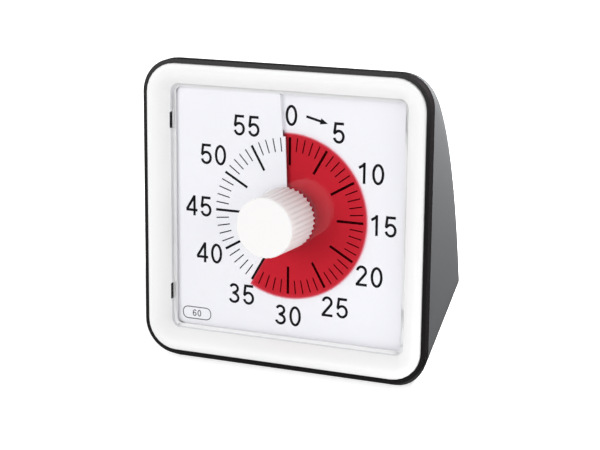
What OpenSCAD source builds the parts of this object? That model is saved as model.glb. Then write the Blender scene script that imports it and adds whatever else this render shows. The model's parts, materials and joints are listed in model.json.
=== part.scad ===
// Visual countdown timer: a split dial, a film disc that winds through its slit, and a
// quartz movement, in a small case that leans back on its own base.
// Millimetres, +Z up, the face looks towards -Y. The origin is on the ground, under the
// middle of the box that holds the timer.
// Every piece is drawn with the face upright and centred on X and Z, and its front plane
// at Y = 0, so that Y is a depth into the case. at_rest() then leans it back.

/* [Face] */
// Outside width and height of the white bezel
bezel_w = 83.5; // [78:0.1:104]
// Corner radius of the bezel
bezel_r = 8.6; // [8:0.1:9.4]
// Width of the white band round the opening
band_w = 5.95; // [5.5:0.05:7]
// Depth of the opening's edge behind the front plane
dish_d = 3.3; // [2.4:0.1:4]
// Width of the black rim seen round the bezel
rim_w = 1.25; // [1:0.05:2]
// How far the rim's front lies behind the bezel's
rim_set = 0.84; // [0.4:0.02:1.4]
// Depth where the rim ends and the rear case starts
rim_back = 3.9; // [3.6:0.1:5]

/* [Case] */
// Depth of the case at its lower rear corner
case_depth = 39.8; // [39:0.1:50]
// Angle of the base, which is how far the face leans back
lean = 30; // [24:1:34]
// How far the base stands below the rim
base_drop = 1.3; // [0.6:0.1:2.5]
// Wall of the rear case
wall = 2; // [1.6:0.1:2.4]
// Rounding of the case's long edges
edge_r = 9.5; // [8:0.1:10]
// Rounding of the lower rear corner
heel_r = 3; // [2:0.1:5]
// Reach of the crown at the top of the back
crown_reach = 13.8; // [12:0.1:18]
// Reach of the back's slope above the lower rear corner
back_reach = 40.2; // [34:0.1:44]
// Angle between the lower back and the face
back_slope = 10.4; // [6:0.1:14]
// Side draft, as the width lost on each side per millimetre of depth
side_draft = 0.0175; // [0:0.0025:0.03]

/* [Dial and film] */
// Thickness of the dial sheet
dial_t = 0.4; // [0.3:0.05:0.6]
// Thickness of the film disc
film_t = 0.25; // [0.2:0.05:0.4]
// Running gap on each side of the film
film_gap = 0.3; // [0.2:0.05:0.4]
// Radius of the film disc
film_r = 23.8; // [18:0.1:30]
// Minutes shown at rest
minutes = 35; // [5:5:55]
// Thickness of the lens
lens_t = 1; // [0.8:0.1:1.6]
// Angle of the outer slit before the top of the dial
slit_lag = 4.3; // [2:0.1:6]

/* [Knob] */
// Diameter of the knob at its front
knob_d = 16.8; // [13:0.1:20]
// Height of the knob's front above the bezel's front plane
knob_h = 10.9; // [6:0.1:14]
// Growth of the knob's radius towards its root
knob_flare = 0.4; // [0:0.05:0.8]
// Number of grip ribs
knob_ribs = 36; // [24:4:60]
// Depth of the flutes between the ribs, at the knob's root
rib_h = 0.48; // [0.3:0.02:0.6]

/* [Movement] */
// Width of the movement's housing
move_w = 54; // [54:0.5:60]
// Height of the housing above the arbor
move_up = 26.5; // [26:0.1:28]
// Height of the housing below the arbor
move_down = 21; // [20:0.1:23]
// Depth inside the housing
move_in = 6.85; // [6.8:0.05:8]
// Wall, floor and lid of the housing
move_wall = 1; // [0.8:0.1:1.2]
// Module of the train
gear_m = 0.4; // [0.38:0.01:0.42]
// Diameter of the arbor that carries the knob
arbor_d = 3; // [2.4:0.1:3.6]
// Radial running clearance of arbors and pivots
run_gap = 0.05; // [0.02:0.01:0.08]

/* [Battery] */
// Diameter of the cell
cell_d = 14.5; // [13.5:0.1:14.5]
// Length of the cell with its button
cell_l = 50.5; // [44:0.1:50.5]
// Height of the cell's axis below the arbor
cell_drop = 13.5; // [13:0.1:14.5]
// Thickness of the battery door
door_t = 1.6; // [1.4:0.1:1.9]

/* [Screws and switch] */
// Diameter of the case screws
screw_d = 2.1; // [2:0.1:2.2]
// Diameter of the small screws inside
small_screw_d = 1.6; // [1.4:0.1:1.8]
// Travel of the sound switch
switch_travel = 4; // [3:0.5:5]

/* [Hidden] */
$fn = 64;

// Half sizes and depths of the face
bezel_half = bezel_w / 2;
rim_half = bezel_half + rim_w;
corner_at = bezel_half - bezel_r;           // centre of every concentric corner
open_half = bezel_half - band_w;
lens_gap = 0.2;
lens_half = open_half - lens_gap;
lens_back = dish_d + lens_t;
tab_z = 25.1;                               // height of the lens tabs
tab_l = 4.2;
tab_out = 0.7;
tab_gap = 0.25;
ledge_w = 1.1;
ledge_t = 0.65;
skirt_gap = 0.1;                            // skirt's inner face inside the opening
skirt_half = open_half - skirt_gap;
skirt_t = 1;
dial_gap = 0.3;
seat_gap = 0.15;                            // between the pads and the sheet
dial_half = skirt_half - dial_gap;

// Helicoids of the dial and the film: one turn climbs one pitch towards the viewer
pitch = dial_t + film_t + 2 * film_gap;
dial_zero = lens_back + film_gap + film_t + film_gap + dial_t / 2 + pitch; // low side
carrier_front = dial_zero + film_gap + film_t / 2 + pitch / 2;
carrier_t = 1.5;
carrier_back = carrier_front + carrier_t;
carrier_half = skirt_half + skirt_t;
knob_root_r = knob_d / 2 + knob_flare;
knob_seat = -knob_h + 4;                    // where the arbor ends in the knob
knob_ease = 0.35;
flute_r = 0.8 * knob_root_r * sin(180 / knob_ribs);
hub_r = knob_root_r - 3;                    // so that the dial's hole stays under the knob
film_hole = hub_r + 0.3;
hub_back = carrier_front - 0.5;
lug_r = hub_r + 1.15;                       // lugs of the hub that turn the film
lug_w = 2.4;
lug_back = [120, 240];                      // lugs' angles behind the leading edge
dial_hole = lug_r + 0.3;
turn_step = 5;
slit_lap = 2;                               // angle by which the sheet's ends overlap
notch_r = film_r - 1.1;                     // the overlap ends here, so the film's edge shows
riser_from = film_r + 0.6;                  // outside this the slit is closed

// Frame
flange_half = bezel_half - 1.75;
flange_front = 3.2;
flange_t = 1.4;
spigot_half = rim_half - wall - 0.4;
spigot_back = 6.2;
post_r = 1.9;
screw_head_r = 2;
post_x = spigot_half - post_r;
post_z = 27;
post_back = carrier_back + 0.05;
frame_fit = 0.1;
clip_w = 8;
clip_gap = 0.4;
pilot_gap = 0.05;
post_front = flange_front + 0.9;
ear_at = corner_at + 2.8;                   // carrier screws, in the bezel's corners
ear_r = 1.8;

// Case outline, in depth and height
crown = [rim_back, rim_half];
base_front = [rim_back, -rim_half - base_drop];
heel = [case_depth, base_front[1] + (case_depth - rim_back) * tan(lean)];
crown_arm = crown + [crown_reach, 0];
back_arm = heel + back_reach * [-sin(back_slope), cos(back_slope)];
heel_stop = curve_at(heel[1] + edge_r + heel_r); // where the back's rounding starts
curve_steps = 36;
corner_steps = 6;
edge_steps = 9;

// Movement stack
move_front = carrier_back;
move_floor = move_front + move_wall;
move_back = move_floor + move_in;
cover_back = move_back + move_wall;
move_boss_r = 1.8;
boss_in = 2.6;
move_screws = [for (x = [boss_in - move_w / 2, move_w / 2 - boss_in],
    z = [move_up - boss_in, boss_in - move_down]) [x, z]];
wheel_t = 0.7;
level_gap = 0.5;
level_1 = move_floor + 0.65;
level_2 = level_1 + wheel_t + level_gap;
level_3 = level_2 + wheel_t + level_gap;
level_4 = level_3 + wheel_t + level_gap;
level_5 = level_4 + wheel_t + level_gap;
pivot_r = 0.45;
shaft_r = 0.7;
arbor_r = arbor_d / 2;
cam_front = level_5 + 0.2;
cam_back = cam_front + 0.8;
cam_r = 2.6;
cam_reach = 4.1;
leaf_x = cam_reach + 0.3;

// Train: teeth of the wheels and of the pinions that drive them
pinion_n = 8;
centre_n = 64;
third_n = 60;
second_n = 48;
inter_n = 40;
mesh_gap = 0.05;                            // taken off each flank
centre_at = [0, 0];
third_dir = 35;
second_dir = 152;
inter_dir = 200;
rotor_dir = 235;
third_at = centre_at + reach(centre_n) * unit(third_dir);
second_at = third_at + reach(third_n) * unit(second_dir);
inter_at = second_at + reach(second_n) * unit(inter_dir);
rotor_at = inter_at + reach(inter_n) * unit(rotor_dir);
// The wheels stand at phase 0, and each pinion is in mesh with the wheel that it meets
third_phase = mesh_phase(third_dir, centre_n);
second_phase = mesh_phase(second_dir, third_n);
inter_phase = mesh_phase(inter_dir, second_n);
rotor_phase = mesh_phase(rotor_dir, inter_n);
magnet_r = 2.4;
magnet_gap = 0.45;
stator_t = 0.8;
coil_r = 2.7;
coil_at = [-10.5, -16.4];
coil_l = 15;
coil_depth = move_floor + 0.5 + coil_r;
leg_w = 4;
board_at = [5, -18.5];
board_size = [17, 12];
board_front = level_5;
board_t = 0.8;

// Battery bay
cell_r = cell_d / 2;
tray_t = 1;
cell_gap = 0.3;
cell_depth = cover_back + tray_t + cell_gap + cell_r;
contact_room = 3;
tail_x = 24.4;                              // where the contact tails pass the lid
strip_t = 0.2;
spring_turns = 5;
spring_wire = 0.25;
tray_half_l = cell_l / 2 + contact_room + tray_t;
tray_half_h = cell_r + cell_gap + tray_t;
door_half_w = 27;
door_half_h = 8.2;
door_gap = 0.3;
door_rise = 1;                              // door's middle above the cell's axis
door_s = curve_at(-cell_drop + door_rise);
hinge_r = 1.1;
hinge_in = 1.35;                            // pin's axis below the outer face
hinge_pin_r = 0.7;
hinge_pin_l = 1.4;
hinge_up = -door_half_h + hinge_in;         // pin's axis along the door
hinge_end = door_half_w + door_gap + hinge_pin_l;

// Sound switch and buzzer
switch_at = [-17, 8];
switch_s = curve_at(switch_at[1]);
slider_w = 5;
slider_h = 2.6;
slot_gap = 0.3;
slot_half_w = (slider_w + switch_travel) / 2 + slot_gap;
slider_rest = -switch_travel / 2;
slider_out = 1.1;
buzzer_at = [13, 9];
buzzer_r = 10;
buzzer_h = 3.4;
sound_slots = 5;
slot_pitch = 3;

// Frame of the row: how the upright pieces lean and where they stand
outline_y = [for (t = [0:curve_steps]) leaned(bezier(t / curve_steps))];
front_y = rim_set * cos(lean) - rim_half * sin(lean);
middle_y = (front_y + max(outline_y)) / 2;
ground = base_front[1] * cos(lean) - base_front[0] * sin(lean);

function unit(a) = [cos(a), sin(a)];
function reach(n) = (n + pinion_n) * gear_m / 2;
function leaned(p) = p[0] * cos(lean) + p[1] * sin(lean);

// Phase of the pinion that meets a wheel of n teeth in direction dir
function mesh_phase(dir, n) = dir + 180 - 360 / pinion_n * (0.5 - dir * n / 360);

// Back of the case, from the crown (t = 0) to the heel (t = 1)
function bezier(t) = pow(1 - t, 3) * crown + 3 * t * pow(1 - t, 2) * crown_arm
    + 3 * t * t * (1 - t) * back_arm + pow(t, 3) * heel;
function bezier_way(t) = 3 * pow(1 - t, 2) * (crown_arm - crown)
    + 6 * t * (1 - t) * (back_arm - crown_arm) + 3 * t * t * (heel - back_arm);
function back_normal(t) = let (w = bezier_way(t)) [-w[1], w[0]] / norm(w);
function back_angle(t) = let (n = back_normal(t)) atan2(n[1], n[0]);
function curve_at(z, lo = 0, hi = 1, n = 24) =
    n == 0 ? (lo + hi) / 2
    : let (mid = (lo + hi) / 2)
        bezier(mid)[1] > z ? curve_at(z, mid, hi, n - 1) : curve_at(z, lo, mid, n - 1);

// Solid of the case outline, drawn in by inset, with its long edges rounded
module case_form(inset, front) {
    r = edge_r - inset;
    flat = rim_half - edge_r;
    levels = [for (i = [0:edge_steps]) let (a = 90 * i / edge_steps)
        [flat + r * cos(a), inset + r * (1 - sin(a))]];
    slices = concat(levels, [for (i = [edge_steps:-1:0]) [-levels[i][0], levels[i][1]]]);
    rings = [for (s = slices) [for (p = outline(s[1], front))
        [s[0] * (1 - side_draft * (p[0] - rim_back) / rim_half), p[0], p[1]]]];
    skin(rings);
}

// Side outline of the case, drawn in by d all round but at the open front
function outline(d, front) = let (
    r = max(heel_r - d, 0.25),
    up_angle = back_angle(1),
    back_n = unit(up_angle),
    base_n = unit(lean - 90),
    c = heel - (d + r) * (back_n + base_n) / (1 + back_n * base_n),
    stop = heel_stop,
    along = [for (i = [0:curve_steps]) let (t = stop * i / curve_steps)
        bezier(t) - d * back_normal(t)],
    arc = [for (i = [0:corner_steps])
        c + r * unit(up_angle + (lean - 90 - up_angle) * i / corner_steps)]
) concat([[front, along[0][1]]], [for (p = along) [max(p[0], front + 0.02), p[1]]], arc,
    [[front, base_front[1] + d / cos(lean) + (front - rim_back) * tan(lean)]]);

// Closed solid through rings of equal length, first and last ring capped
module skin(rings) {
    n = len(rings[0]);
    m = len(rings);
    polyhedron([for (r = rings) each r], concat(
        [[for (j = [0:n - 1]) j]],
        [for (i = [0:m - 2], j = [0:n - 1], k = [0:1]) let (q = (j + 1) % n)
            k == 0 ? [i * n + j, (i + 1) * n + j, (i + 1) * n + q]
                : [i * n + j, (i + 1) * n + q, i * n + q]],
        [[for (j = [n - 1:-1:0]) (m - 1) * n + j]]), convexity = 6);
}

// Closed ring solid: each ring joins the next and the last joins the first
module loop_skin(rings) {
    n = len(rings[0]);
    m = len(rings);
    polyhedron([for (r = rings) each r],
        [for (i = [0:m - 1], j = [0:n - 1], k = [0:1]) let (q = (j + 1) % n, s = (i + 1) % m)
            k == 0 ? [i * n + j, s * n + j, s * n + q] : [i * n + j, s * n + q, i * n + q]],
        convexity = 6);
}

// Leans a piece back and stands it on the ground
module at_rest() {
    translate([0, -middle_y, -ground]) rotate([-lean, 0, 0]) children();
}

// A flat shape of the face, as deep as from one depth to another
module slab(from, to) {
    translate([0, to, 0]) rotate([90, 0, 0]) linear_extrude(height = to - from) children();
}

// A round bar along the depth, at a place of the face
module bar(at, r, from, to) {
    slab(from, to) translate(at) circle(r = r);
}

module at_corners(x, z) {
    for (i = [-1, 1], j = [-1, 1]) translate([i * x, 0, j * z]) children();
}

module rounded_square(half, r) {
    square([2 * half, 2 * (half - r)], center = true);
    square([2 * (half - r), 2 * half], center = true);
    for (i = [-1, 1], j = [-1, 1]) translate([i, j] * (half - r)) circle(r = r);
}

module face_ring(outer, inner, from, to) {
    slab(from, to) difference() {
        rounded_square(outer, outer - corner_at);
        rounded_square(inner, inner - corner_at);
    }
}

// Puts a piece on the back of the case: its own Y points out, its Z up along the back
module on_back(t, x = 0) {
    p = bezier(t);
    translate([x, p[0], p[1]]) rotate([back_angle(t), 0, 0]) children();
}

// ---------------------------------------------------------------- case and face

module rear_case() {
    screw_seat = post_back + 1.6;
    color([0.16, 0.16, 0.17]) difference() {
        union() {
            difference() {
                case_form(0, rim_back);
                case_form(wall, rim_back - 1);
            }
            intersection() {
                case_form(0.4, rim_back);
                case_fittings();
            }
        }
        at_corners(post_x, post_z) {
            bar([0, 0], screw_d / 2 + 0.2, rim_back, case_depth);
            bar([0, 0], screw_head_r + 0.3, screw_seat, case_depth + 10);
        }
        // doorway
        on_back(door_s) {
            translate([-door_half_w - door_gap, -wall - 2, -door_half_h - door_gap])
                cube([2 * (door_half_w + door_gap), wall + 6, 2 * (door_half_h + door_gap)]);
            translate([0, -hinge_in, hinge_up]) rotate([0, 90, 0])
                cylinder(r = hinge_pin_r + run_gap, h = 2 * hinge_end, center = true);
        }
        // switch slot
        on_back(switch_s, switch_at[0])
            translate([-slot_half_w, -wall - 2, -slider_h / 2 - slot_gap])
                cube([2 * slot_half_w, wall + 6, slider_h + 2 * slot_gap]);
        // sound slots
        on_back(curve_at(buzzer_at[1]))
            for (i = [0:sound_slots - 1])
                translate([buzzer_at[0] + (i - (sound_slots - 1) / 2) * slot_pitch, 0, 0])
                    cube([1.4, 3 * wall + 2, 12 - 1.5 * abs(i - 2)], center = true);
    }
}

// Screw columns and the door's pin blocks, before they are cut to the case
module case_fittings() {
    at_corners(post_x, post_z) bar([0, 0], screw_head_r + 1.2, post_back, case_depth);
    on_back(door_s)
        for (s = [-1, 1])
            translate([s * (door_half_w + door_gap + 1.5) - 1.5, -hinge_in - 2, hinge_up - 2])
                cube([3, 3, 4]);
}

module front_frame() {
    color([0.05, 0.05, 0.055]) difference() {
        union() {
            face_ring(rim_half, bezel_half + frame_fit, rim_set, rim_back);
            face_ring(rim_half - 0.6, flange_half, flange_front, rim_back);
            face_ring(spigot_half, flange_half, flange_front, flange_front + flange_t);
            difference() {
                face_ring(spigot_half, flange_half, flange_front, spigot_back);
                // no spigot along the base and its corners
                translate([-rim_half, flange_front + flange_t, -rim_half - 1])
                    cube([2 * rim_half, 10, rim_half - 28]);
                // windows for the bezel's clips
                for (a = [0:90:270]) rotate([0, a, 0])
                    translate([-clip_w / 2 - 1, flange_front + flange_t, flange_half - 3])
                        cube([clip_w + 2, 10, 8]);
            }
            at_corners(post_x, post_z) bar([0, 0], post_r, post_front, post_back);
        }
        at_corners(post_x, post_z)
            bar([0, 0], screw_d / 2 + pilot_gap, post_front + 0.8, post_back + 1);
    }
}

// Section of the bezel as half width and depth, outer wall first
function bezel_section() = concat(
    [[bezel_half, flange_front]],
    [for (i = [0:3]) [bezel_half - 0.8 + 0.8 * cos(30 * i), 0.8 - 0.8 * sin(30 * i)]],
    [for (i = [0:8]) let (u = i / 8)
        [bezel_half - 1.4 - (band_w - 1.4) * u, dish_d * pow(u, 1.8)]],
    [[open_half, lens_back], [open_half - ledge_w, lens_back],
     [open_half - ledge_w, lens_back + ledge_t], [skirt_half, lens_back + ledge_t],
     [skirt_half, carrier_front], [carrier_half, carrier_front],
     [carrier_half, dish_d + 0.6], [carrier_half + 1, dish_d - 0.4],
     [carrier_half + 2.5, dish_d - 1.4], [bezel_half - 1.4, 1.6],
     [bezel_half - 1.4, flange_front]]);

// Rounded square of the face as points, with its corners about corner_at
function face_loop(half, depth, n = 7) = [for (c = [0:3], i = [0:n])
    let (a = 90 * c + 90 * i / n, r = half - corner_at,
         s = [c == 0 || c == 3 ? 1 : -1, c < 2 ? 1 : -1])
    [s[0] * corner_at + r * cos(a), depth, s[1] * corner_at + r * sin(a)]];

module bezel() {
    color([0.95, 0.95, 0.95]) difference() {
        union() {
            loop_skin([for (p = bezel_section()) face_loop(p[0], p[1])]);
            at_corners(ear_at, ear_at) bar([0, 0], ear_r, 2.6, carrier_front);
            for (a = [0:90:270]) rotate([0, a, 0]) bezel_clip();
        }
        at_corners(ear_at, ear_at)
            bar([0, 0], small_screw_d / 2 + pilot_gap, 3.6, carrier_front + 1);
        at_corners(lens_half + tab_out / 2, tab_z)
            translate([-tab_out / 2 - tab_gap, dish_d, -tab_l / 2 - tab_gap])
                cube([tab_out + 2 * tab_gap, lens_t + 0.01, tab_l + 2 * tab_gap]);
        // slits in the band, beside the lens tabs
        at_corners(skirt_half + skirt_t + 0.45, tab_z)
            cube([0.35, 2 * lens_back, tab_l], center = true);
    }
}

// Clip that snaps behind the frame's flange
module bezel_clip() {
    top = flange_half - clip_gap;
    hook = flange_front + flange_t + 0.15;
    translate([-clip_w / 2, 0, 0]) {
        translate([0, 1.5, top - 1]) cube([clip_w, hook, 1]);
        translate([0, hook, top - 1]) cube([clip_w, 1.2, 1.7]);
    }
}

module lens() {
    color([0.85, 0.92, 0.97, 0.25]) difference() {
        union() {
            slab(dish_d, lens_back) rounded_square(lens_half, lens_half - corner_at);
            at_corners(lens_half + tab_out / 2 - 0.1, tab_z)
                translate([-tab_out / 2 - 0.1, dish_d + 0.2, -tab_l / 2])
                    cube([tab_out + 0.2, lens_t - 0.2, tab_l]);
        }
        bar([0, 0], knob_root_r + 0.5, dish_d - 1, lens_back + 1);
    }
}

// ---------------------------------------------------------------- dial and film

// Height towards the viewer, clockwise angle a from the slit
function climb(a) = pitch * a / 360;

// Reach of the dial sheet from its centre: a square with cut corners
function dial_reach(a) = let (c = (dial_half * sqrt(2) - 1.1))
    min(dial_half / max(abs(sin(a)), 0.01), dial_half / max(abs(cos(a)), 0.01),
        c / max(abs(cos((a % 90) - 45)), 0.01));

// Sheet that follows the helicoid; each rib is an angle, an inner and an outer radius
module helicoid(ribs, depth, thick) {
    skin([for (w = ribs) let (y = depth - climb(w[0]))
        [for (q = [[w[1], thick / 2], [w[2], thick / 2],
                   [w[2], -thick / 2], [w[1], -thick / 2]])
            [q[0] * sin(w[0]), y + q[1], q[0] * cos(w[0])]]]);
}

module dial_plate() {
    // the low edge lies under the film, at the slit, and the high edge over it
    low = -slit_lag - 0.1;
    high = 360 - slit_lag;
    n = round((high - low) / turn_step);
    sheet = [for (i = [0:n]) let (a = low + (high - low) * i / n)
        [a, dial_hole, dial_reach(a + 360)]];
    lap = [[high + 0.1, dial_hole, notch_r], [high + slit_lap, dial_hole, notch_r]];
    color([0.96, 0.96, 0.99]) {
        helicoid(concat(sheet, lap), dial_zero, dial_t);
        // riser that joins the sheet's two ends outside the film
        rotate([0, -slit_lag, 0]) translate([-0.25, dial_zero - pitch, riser_from])
            cube([0.25, pitch, dial_half - 0.3 - riser_from]);
    }
}

module dial_carrier() {
    color([0.9, 0.9, 0.91]) difference() {
        union() {
            slab(carrier_front, carrier_back) {
                rounded_square(carrier_half, carrier_half - corner_at);
                for (i = [-1, 1], j = [-1, 1]) translate([i, j] * ear_at) circle(r = ear_r);
            }
            // pads that hold the sheet up to its helicoid, outside the film's reach
            for (a = [45:90:315]) let (h = dial_zero - climb(a) + dial_t / 2 + seat_gap)
                slab(h, carrier_front + 0.1) rotate(-a) translate([0, dial_half * 1.22])
                    square([5, 5], center = true);
        }
        bar([0, 0], arbor_r + run_gap, carrier_front - 1, carrier_back + 1);
        at_corners(ear_at, ear_at)
            bar([0, 0], small_screw_d / 2 + 0.1, carrier_front - 1, carrier_back + 1);
        for (p = move_screws) bar(p, small_screw_d / 2 + 0.1, carrier_front - 1, carrier_back + 1);
    }
}

module time_disc() {
    // one turn of film: it shows as many minutes as are set and hides the rest
    lead = minutes * 6;
    n = 360 / turn_step;
    color([0.85, 0.12, 0.16, 0.85])
        helicoid([for (i = [0:n]) let (back = 360 - turn_step * i)
            [lead - max(back, 0) - (i == n ? 1 : 0), at_lug(back) ? lug_r + 0.3 : film_hole,
                film_r]], dial_zero - pitch / 2, film_t);
}
function at_lug(back) = min([for (b = lug_back) abs(back - b)]) < 2.5 * turn_step;

module disc_hub() {
    color([0.93, 0.93, 0.93]) difference() {
        union() {
            bar([0, 0], hub_r, lens_back, hub_back);
            bar([0, 0], hub_r - 2, lens_back - 1, lens_back);
            for (b = lug_back) slab(lens_back + 0.35, hub_back)
                rotate(90 - minutes * 6 + b) translate([hub_r - 0.5, -lug_w / 2])
                    square([lug_r - hub_r + 0.5, lug_w]);
        }
        bar([0, 0], arbor_r, lens_back - 2, hub_back + 1);
    }
}

module knob() {
    top = -knob_h;
    root = lens_back - 0.3;
    color([0.96, 0.96, 0.96]) difference() {
        knob_cone(knob_d / 2, knob_ease, top, root);
        // round flutes, straight on the cone, so that they fade towards the front
        for (i = [0:knob_ribs - 1])
            bar((knob_root_r + flute_r - rib_h) * unit(360 * i / knob_ribs), flute_r,
                top - 1, root + 1);
        bar([0, 0], arbor_r, knob_seat, root + 1);
        bar([0, 0], hub_r - 2 + 0.1, lens_back - 1.1, root + 1);
    }
}

// Cone of the grip, wider towards its root, with its front edge eased
module knob_cone(r, ease, top, root) {
    rotate([-90, 0, 0]) rotate_extrude() polygon([[0, top], [r - ease, top], [r, top + ease],
        [r + knob_flare, root], [0, root]]);
}

// ---------------------------------------------------------------- movement

module knob_arbor() {
    color([0.75, 0.76, 0.78]) {
        bar([0, 0], arbor_r, knob_seat, cam_front);
        // cam with the lug that closes the contact at zero
        slab(cam_front, cam_back) {
            circle(r = cam_r);
            rotate(-minutes * 6) translate([0, -0.8]) square([cam_reach, 1.6]);
        }
        bar([0, 0], pivot_r * 2, cam_back, cover_back);
    }
}

// Involute tooth flank: the point at radius r of a tooth on base radius rb
function inv(a) = tan(a) * 180 / PI - a;
function flank(r, rb, half) = let (a = r > rb ? acos(rb / r) : 0) half - inv(a);

module gear_shape(n, phase) {
    rp = n * gear_m / 2;
    rb = rp * cos(20);
    ra = rp + 0.85 * gear_m;
    rf = rp - 1.2 * gear_m;
    // half angle of the tooth on the base circle
    half = 90 / n - mesh_gap / rp * 180 / PI + inv(20);
    radii = [rf, max(rb, rf) + 0.02, rp, ra];
    rotate(phase) polygon([for (k = [0:n - 1], s = [-1, 1], i = [0:3])
        let (r = s < 0 ? radii[i] : radii[3 - i], a = 360 * k / n + s * flank(r, rb, half))
        r * unit(a)]);
}

// A wheel with its pinion on one arbor, pivoted in the housing's floor and lid
module wheel(at, n, level, pinion_level, pinion_phase) {
    bar(at, shaft_r, level_1 - 0.1, move_back - 0.15);
    bar(at, pivot_r, move_front + 0.3, cover_back - 0.3);
    slab(level, level + wheel_t) translate(at) difference() {
        gear_shape(n, 0);
        for (a = [0:90:270]) rotate(a + 45) translate([n * gear_m * 0.27, 0])
            circle(r = n * gear_m * 0.12);
    }
    slab(pinion_level - 0.1, pinion_level + wheel_t + level_gap) translate(at)
        gear_shape(pinion_n, pinion_phase);
}

module centre_wheel() {
    color([0.78, 0.66, 0.36]) difference() {
        union() {
            slab(level_1, level_1 + wheel_t) difference() {
                gear_shape(centre_n, 0);
                for (a = [0:72:288]) rotate(a) translate([centre_n * gear_m * 0.3, 0])
                    circle(r = centre_n * gear_m * 0.1);
            }
            bar([0, 0], 2.6, level_1, level_1 + wheel_t + 0.2);
        }
        bar([0, 0], arbor_r + run_gap, level_1 - 1, level_5);
    }
}

module third_wheel() {
    color([0.9, 0.9, 0.88])
        wheel(third_at, third_n, level_2, level_1, third_phase);
}

module second_wheel() {
    color([0.9, 0.9, 0.88])
        wheel(second_at, second_n, level_3, level_2, second_phase);
}

module intermediate_wheel() {
    color([0.9, 0.9, 0.88])
        wheel(inter_at, inter_n, level_4, level_3, inter_phase);
}

module rotor() {
    color([0.35, 0.35, 0.37]) {
        bar(rotor_at, shaft_r, level_1 - 0.1, move_back - 0.15);
        bar(rotor_at, pivot_r, move_front + 0.3, cover_back - 0.3);
        slab(level_4 - 0.1, level_4 + wheel_t + 0.2) translate(rotor_at)
            gear_shape(pinion_n, rotor_phase);
        bar(rotor_at, magnet_r, level_5 - 0.2, level_5 + 1.2);
    }
}

// Friction spring that lets the knob turn the arbor through the centre wheel
module clutch_spring() {
    color([0.8, 0.8, 0.8]) difference() {
        slab(level_1 - 0.35, level_1 - 0.1) {
            circle(r = 2.4);
            for (a = [0:120:240]) rotate(a) translate([0, -0.7]) square([4.4, 1.4]);
        }
        bar([0, 0], arbor_r, level_1 - 1, level_5);
    }
}

module move_outline(grow = 0) {
    translate([-move_w / 2 - grow, -move_down - grow])
        square([move_w + 2 * grow, move_up + move_down + 2 * grow]);
}

module pivot_holes(from, to) {
    for (p = [third_at, second_at, inter_at, rotor_at]) bar(p, pivot_r + run_gap, from, to);
}

module movement_housing() {
    color([0.2, 0.2, 0.21]) difference() {
        union() {
            slab(move_front, move_floor) move_outline();
            slab(move_floor - 0.01, move_back) difference() {
                move_outline();
                move_outline(-move_wall);
            }
            for (p = move_screws) bar(p, move_boss_r, move_floor - 0.01, move_back);
        }
        bar([0, 0], arbor_r + run_gap, move_front - 1, move_floor + 1);
        pivot_holes(move_front + 0.2, move_floor + 1);
        for (p = move_screws)
            bar(p, small_screw_d / 2 + pilot_gap, move_front - 1, move_back + 1);
    }
}

module movement_cover() {
    color([0.2, 0.2, 0.21]) difference() {
        slab(move_back, cover_back) move_outline();
        bar([0, 0], pivot_r * 2 + run_gap, move_back - 1, cover_back + 1);
        pivot_holes(move_back - 1, cover_back - 0.2);
        for (p = move_screws) bar(p, small_screw_d / 2 + 0.1, move_back - 1, cover_back + 1);
        // ways for the contact tails
        for (s = [-1, 1]) slab(move_back - 1, cover_back + 1)
            translate([s * (tail_x) - 1.4, -cell_drop - 1]) square([2.8, 2]);
    }
}

module stator() {
    left = coil_at[0] - coil_l / 2 - leg_w;
    right = coil_at[0] + coil_l / 2;
    low = coil_at[1] - leg_w / 2;
    color([0.6, 0.6, 0.62]) {
        slab(level_5, level_5 + stator_t) difference() {
            union() {
                translate(rotor_at) circle(r = magnet_r + magnet_gap + 2.2);
                translate([left, low]) square([leg_w, rotor_at[1] - low]);
                polygon([[rotor_at[0] + 1, rotor_at[1] + 3], [rotor_at[0] + 5, rotor_at[1]],
                    [right + leg_w, coil_at[1] + 3], [right + leg_w, low], [right, low],
                    [right, coil_at[1] + 3], [rotor_at[0] + 1, rotor_at[1] - 3]]);
            }
            translate(rotor_at) circle(r = magnet_r + magnet_gap);
        }
        for (x = [left, right])
            slab(coil_depth - 0.5, level_5 + 0.01) translate([x, low]) square([leg_w, leg_w]);
        slab(coil_depth - 0.5, coil_depth + 0.5) translate([left, coil_at[1] - 0.8])
            square([coil_l + 2 * leg_w, 1.6]);
    }
}

module coil() {
    color([0.72, 0.42, 0.2]) translate([coil_at[0], coil_depth, coil_at[1]])
        rotate([0, 90, 0]) difference() {
            union() {
                cylinder(r = coil_r - 0.5, h = coil_l - 0.4, center = true);
                for (s = [-1, 1]) translate([0, 0, s * (coil_l / 2 - 0.6)])
                    cylinder(r = coil_r, h = 0.8, center = true);
            }
            cube([1.8, 1.2, coil_l + 1], center = true);
        }
}

module circuit_board() {
    color([0.1, 0.4, 0.2]) difference() {
        slab(board_front, board_front + board_t) translate(board_at) square(board_size);
        bar(board_at + [15, 2], 0.6, board_front - 1, board_front + 2);
    }
    // standoffs down to the housing's floor
    color([0.2, 0.2, 0.21]) for (p = [[2, 2.2], [15, 10]])
        bar(board_at + p, 0.8, move_floor, board_front);
}

module quartz_crystal() {
    color([0.8, 0.8, 0.82]) translate([board_at[0] + 4.5, board_front - 1.05, board_at[1] + 9])
        rotate([0, 90, 0]) cylinder(r = 1, h = 6);
}

module chip() {
    color([0.05, 0.05, 0.05]) translate([board_at[0] + 12.5, board_front, board_at[1] + 5])
        rotate([90, 0, 0]) intersection() {
            cylinder(r = 2.4, h = 1);
            translate([0, 0, -3]) sphere(r = 3.9);
        }
}

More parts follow.
